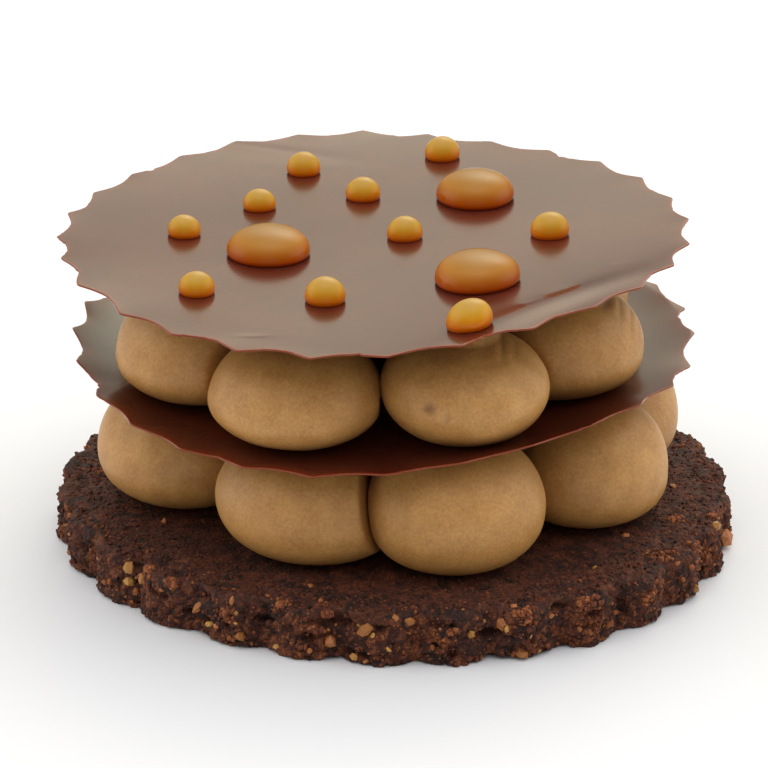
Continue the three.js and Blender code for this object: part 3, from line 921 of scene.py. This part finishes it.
# How far the wall between a ball and the one after it leans, where one ball was piped over the other.
LEANING_WALLS = {(-25, 14.5): 0.22, (14.5, 64.2): -0.1, (-80, -25): 0.1}
print("balls:", len(LOWER_BALLS) + len(UPPER_BALLS))

# %% [markdown]
# A ball could be cut flat where it meets another, but real paste never has a sharp edge there. So each ball
# is a round body, kept inside its room by a soft limit: two walls shared with its neighbours, a floor and a
# ceiling. On the inner side of the ring, which is out of sight, the paste ran together, so it is fuller.

# %% Shape of a ball
FOOT_SHARE = 1.06
TIP_START = 0.9
BALL_STEPS = 144
BALL_ROWS = 96
INNER_SLUMP = 7
INNER_FULLNESS = 6
FULL_DOME = 1.03
NEIGHBOUR_GAP = 0.02
WALL_SOFTNESS = 0.07
LEVEL_SOFTNESS = 0.15
PRESS = 0.06


def soft_limit(value, limit, softness):
    """The value while it is well below the limit, the limit when it is well above, and a round bend
    between: limit - s ln(1 + exp((limit - value) / s))."""
    return limit - softness * np.logaddexp(0, (limit - value) / softness)


def ball_surface(row, before, after, floor_at, ceiling_at, slump):
    """Rings of one ball from its foot to its top. A point of the unit ball, its lower half filled out
    (|x|^f + |z|^f = 1, more so on the hidden inner side, where the paste ran together), goes to the ball's
    radii, leans outwards as it rises, and is kept off both neighbours, the floor and the ceiling."""
    turn, reach, half_width, half_length, belly, firmness, dome, lean = row
    middle = np.array(place(np.radians(turn), reach))
    outwards = middle / np.linalg.norm(middle)
    sideways = np.array([outwards[1], -outwards[0]])
    rises = np.linspace(-np.pi / 2, np.pi / 2, BALL_ROWS + 2)[1:-1]
    around, rise = np.meshgrid(even_turns(BALL_STEPS), rises)
    up = np.sin(rise)
    hidden = smooth_step(0.55, 0.75, (1 - np.cos(np.radians(turn))) / 2)
    inner = smooth_step(-0.05, 0.35, -np.sin(around)) * hidden
    lower_power = slump + (INNER_SLUMP - slump) * inner
    fullness = 1 / np.where(up < 0, lower_power, 2 + INNER_FULLNESS * inner)
    width = np.cos(rise) ** (2 * fullness)
    up = np.sign(up) * np.abs(up) ** (2 * fullness)
    local_x = width * np.cos(around) * half_width
    local_y = width * np.sin(around) * half_length + lean * np.maximum(up, 0)
    spot = local_y[..., None] * outwards + local_x[..., None] * sideways
    for neighbour, side in ((before, -1), (after, 1)):
        towards = np.array(place(np.radians(neighbour[0]), neighbour[1])) - middle
        apart = np.linalg.norm(towards)
        towards = towards / apart
        pair = (neighbour[0], turn) if side < 0 else (turn, neighbour[0])
        leaning = -side * LEANING_WALLS.get(pair, 0) * (up * belly)
        wall = apart * firmness / (firmness + neighbour[5]) - NEIGHBOUR_GAP / 2 + leaning
        beyond = spot @ towards
        spot = spot + (soft_limit(beyond, wall, WALL_SOFTNESS) - beyond)[..., None] * towards
    x, y = middle[0] + spot[..., 0], middle[1] + spot[..., 1]
    seat = floor_at(*middle)
    room = ceiling_at(*middle) - seat - belly
    dome_height = room * (dome + max(FULL_DOME - dome, 0) * inner)
    tip = np.maximum((up - TIP_START) / (1 - TIP_START), 0) * np.maximum(room - dome_height, 0)
    height = seat + belly + np.where(up > 0, up * dome_height + tip, up * belly * FOOT_SHARE)
    height = -soft_limit(-height, PRESS - floor_at(x, y), LEVEL_SOFTNESS)
    height = soft_limit(height, ceiling_at(x, y) + PRESS, LEVEL_SOFTNESS)
    return together(x, y, height)


# %% [markdown]
# The finish is a satin paste: opaque, light brown, a little mottled where it dried. Under the skin the light
# scatters a short way, which keeps the creases warm instead of black.

# %% Ganache material
GANACHE = linear(203, 152, 87)
GANACHE_DEEP = linear(176, 124, 64)
GANACHE_PIT_SHADE = linear(124, 82, 46)

ganache = Finish(
    "whipped_ganache", Roughness=0.48, Specular_IOR_Level=0.5,
    Subsurface_Weight=0.15, Subsurface_Scale=0.8 * MM, Subsurface_Radius=(1.0, 0.5, 0.25),
)
mottle = ganache.blend(0.6, ganache.noise(2.4, 2.0), ganache.noise(0.35, 3.0, 0.7))
ganache_tone = ganache.ramp(mottle, [(0.36, GANACHE_DEEP), (0.64, GANACHE)])
# Painted shade: the pits of the two marked balls are blended towards a darker paste colour.
ganache.colour(ganache.blend(ganache.number("mark"), ganache_tone, GANACHE_PIT_SHADE))
ganache.bump(ganache.noise(0.45, 3.0, 0.6), 0.018)
ganache.bump(ganache.noise(3.0, 2.0), 0.05)
print("ganache nodes:", len(ganache.tree.nodes))

# %% [markdown]
# Two balls of the upper ring carry small pits and creases from the nozzle. They are pushed into the mesh,
# and the pits are darkened with painted shade.

# %% Marks on single balls
# x and z in mm, half width, half height, depth (in is negative), painted shade.
MARKS = {
    "ganache_upper_3": [
        (3.05, 26.4, 0.62, 0.62, -0.42, 0.7), (5.1, 25.6, 0.22, 0.7, -0.35, 0.5),
        (6.2, 25.1, 0.6, 0.3, 0.06, 0), (9.5, 32.0, 0.5, 0.9, -0.12, 0.2),
        (11.2, 31.2, 0.4, 1.1, -0.12, 0.2), (12.7, 31.0, 0.4, 0.8, -0.1, 0.2),
        (10.3, 30.4, 1.6, 0.25, -0.08, 0.05),
    ],
    "ganache_upper_4": [
        (23.6, 31.8, 0.8, 0.4, -0.2, 0.8), (25.0, 30.9, 0.25, 1.2, -0.12, 0.3),
        (26.3, 29.6, 0.25, 1.3, -0.12, 0.25), (27.2, 28.2, 0.2, 1.0, -0.08, 0.2),
    ],
}


def mark_surface(rings, marks):
    """Pushes the front of a ball along its normal by a bell over x and z for each of the marks. Gives the new
    points and the painted shade of each one, which darkens the pits."""
    facing = outward(rings)
    push = np.zeros(rings.shape[:2])
    dark = push.copy()
    for x, z, half_width, half_height, depth, painted_shade in marks:
        off = ((rings[..., 0] - x) / half_width) ** 2 + ((rings[..., 2] - z) / half_height) ** 2
        hill = np.exp(-off) * (facing[..., 1] < 0)
        push += depth * hill
        dark = np.maximum(dark, painted_shade * hill)
    return rings + facing * push[..., None], dark


print("marked balls:", len(MARKS))

# %% [markdown]
# Now the rings are built from below: the lower balls stand on the biscuit under the middle disc, and the
# upper ones stand on that disc under the top one. Slow lumps keep them from looking machined.

# %% Ball meshes
SINK = 0.15


def base_top(x, y):
    return BASE_HEIGHT - SINK


def top_of(disc, lowered=0.0):
    """The height function of a disc's upper face, lowered by a thickness for its underside."""
    return lambda x, y: disc_top(disc, x, y) - lowered


def make_balls(prefix, node, rows, floor_at, ceiling_at, slump, seed):
    for index, row in enumerate(rows):
        after = rows[(index + 1) % len(rows)]
        rings = ball_surface(row, rows[index - 1], after, floor_at, ceiling_at, slump)
        lumps = layers(rings, [(0.12, 7.0, seed), (0.04, 2.6, seed + 1)])
        away = np.sin(np.linspace(0, np.pi, len(rings)))[:, None] ** 0.5
        rings = rings - outward(rings) * (lumps * away)[..., None]
        name = f"{prefix}_{index + 1}"
        rings, dark = mark_surface(rings, MARKS.get(name, []))
        # The darkness of each pit is painted on as shade.
        make_round(name, rings, ganache.material, "ganache", f"{node}_{index + 1}", mark=dark)


under_middle = top_of(MIDDLE_DISC, DISC_THICKNESS)
under_top = top_of(TOP_DISC, DISC_THICKNESS)
make_balls("ganache_lower", "ball_lower", LOWER_BALLS, base_top, under_middle, LOWER_SLUMP, 71)
make_balls("ganache_upper", "ball_upper", UPPER_BALLS, top_of(MIDDLE_DISC), under_top, UPPER_SLUMP, 81)

# %% [markdown]
# ## Caramel drops
# Thirteen drops of caramel set on the top disc. The three large ones are milky and light brown, the ten small
# ones clear amber. A drop that sets on chocolate pulls in at its foot, so its widest level is a little above
# the disc. Each drop is a dome over its waist and a tuck under it.

# %% Shape of a drop
# x, y, radius, height.
LARGE_DROPS = [(-14.9, -4.3, 4.8, 3.2), (9.2, 14.1, 4.7, 3.35), (8.7, -14.0, 4.85, 3.3)]
SMALL_DROPS = [
    (-11.5, 24.0, 2.05, 2.5), (5.5, 29.1, 2.15, 2.6), (-16.5, 11.6, 1.95, 2.3), (-4.2, 14.9, 2.1, 2.5),
    (-24.9, 2.2, 1.95, 2.35), (0.7, 0.8, 2.1, 2.5), (17.5, 0.7, 2.25, 2.7), (-22.5, -16.5, 2.0, 2.4),
    (-8.2, -18.9, 2.25, 2.7), (7.5, -28.8, 2.55, 3.1),
]
LARGE_FORM = dict(waist_share=0.16, foot_share=0.95, fullness=2.12)
SMALL_FORM = dict(waist_share=0.2, foot_share=0.93, fullness=2.0)
DROP_STEPS = 96
DROP_ROWS = 56
LOW_SHARE = 0.2
DROP_SINK = 0.02


def drop_surface(x, y, radius, height, seed, waist_share, foot_share, fullness):
    """Rings of one drop. Above the waist the half section is a full curve, |x|^f + |z|^f = 1. Below it the
    skin tucks in along a quarter wave to the foot's share of the radius. Two slow waves make each drop a
    little out of round."""
    around, lift = np.meshgrid(even_turns(DROP_STEPS), np.linspace(0, 1, DROP_ROWS + 1)[:-1])
    waist = waist_share * height
    below = np.clip(lift / LOW_SHARE, 0, 1)
    bend = np.clip((lift - LOW_SHARE) / (1 - LOW_SHARE), 0, 1) * np.pi / 2
    tucked = foot_share + (1 - foot_share) * np.sin(below * np.pi / 2)
    width = np.where(lift < LOW_SHARE, tucked, np.cos(bend) ** (2 / fullness))
    risen = waist + (height - waist) * np.sin(bend) ** (2 / fullness)
    level = np.where(lift < LOW_SHARE, waist * below, risen)
    lobes = 1 + 0.012 * np.cos(2 * around + seed) + 0.008 * np.cos(3 * around + 2.1 * seed)
    east, north = place(around, radius * width * lobes)
    seat = disc_top(TOP_DISC, x + east, y + north)
    return together(x + east, y + north, seat + level - DROP_SINK)


# %% [markdown]
# Light enters a drop from above, travels down through it and comes out low at the front. So a drop looks
# milky at its top, amber in the middle, and deep orange where it meets the chocolate. This light is painted
# into the colour: the height above the disc is painted on each drop as 'rise', and the colour follows it,
# with a paler top, a painted orange glow low down and painted shade at the very foot.

# %% Caramel materials and drops
def caramel(name, stops):
    """A glossy caramel whose colour follows the height on the drop, with the light through it and the shade
    at its foot painted in. Each stop is the height, from 0 at the foot to 1 at the top, and a screen colour."""
    finish = Finish(
        name, Roughness=0.14, IOR=1.4, Specular_IOR_Level=0.3,
        Subsurface_Weight=0.1, Subsurface_Scale=0.7 * MM, Subsurface_Radius=(1.0, 0.45, 0.12),
    )
    painted_light_stops = [(height, linear(*colour)) for height, *colour in stops]
    finish.colour(finish.ramp(finish.number("rise"), painted_light_stops))
    finish.bump(finish.noise(1.6, 2.0), 0.02)
    return finish.material


# Painted light and shade in each ramp: dark at the foot, orange glow low down, paler at the top.
large_caramel = caramel("milky_caramel", [
    (0.0, 96, 28, 4), (0.06, 176, 64, 4), (0.2, 188, 82, 4),
    (0.45, 178, 100, 8), (0.68, 174, 114, 26), (0.96, 152, 108, 40),
])
small_caramel = caramel("amber_caramel", [
    (0.0, 116, 42, 5), (0.05, 210, 90, 5), (0.2, 220, 114, 6),
    (0.45, 212, 140, 18), (0.68, 200, 150, 42), (0.96, 182, 142, 62),
])


def make_drops(size, rows, form, material):
    for index, (x, y, radius, height) in enumerate(rows):
        rings = drop_surface(x, y, radius, height, index + radius, **form)
        # 'rise' drives the painted light and shade of the caramel colour.
        rise = (rings[..., 2] - disc_top(TOP_DISC, rings[..., 0], rings[..., 1])) / height
        name = f"caramel_{size}_{index + 1}"
        make_round(name, rings, material, f"{size}_caramel", f"drop_{size}_{index + 1}", rise=rise)


make_drops("large", LARGE_DROPS, LARGE_FORM, large_caramel)
make_drops("small", SMALL_DROPS, SMALL_FORM, small_caramel)
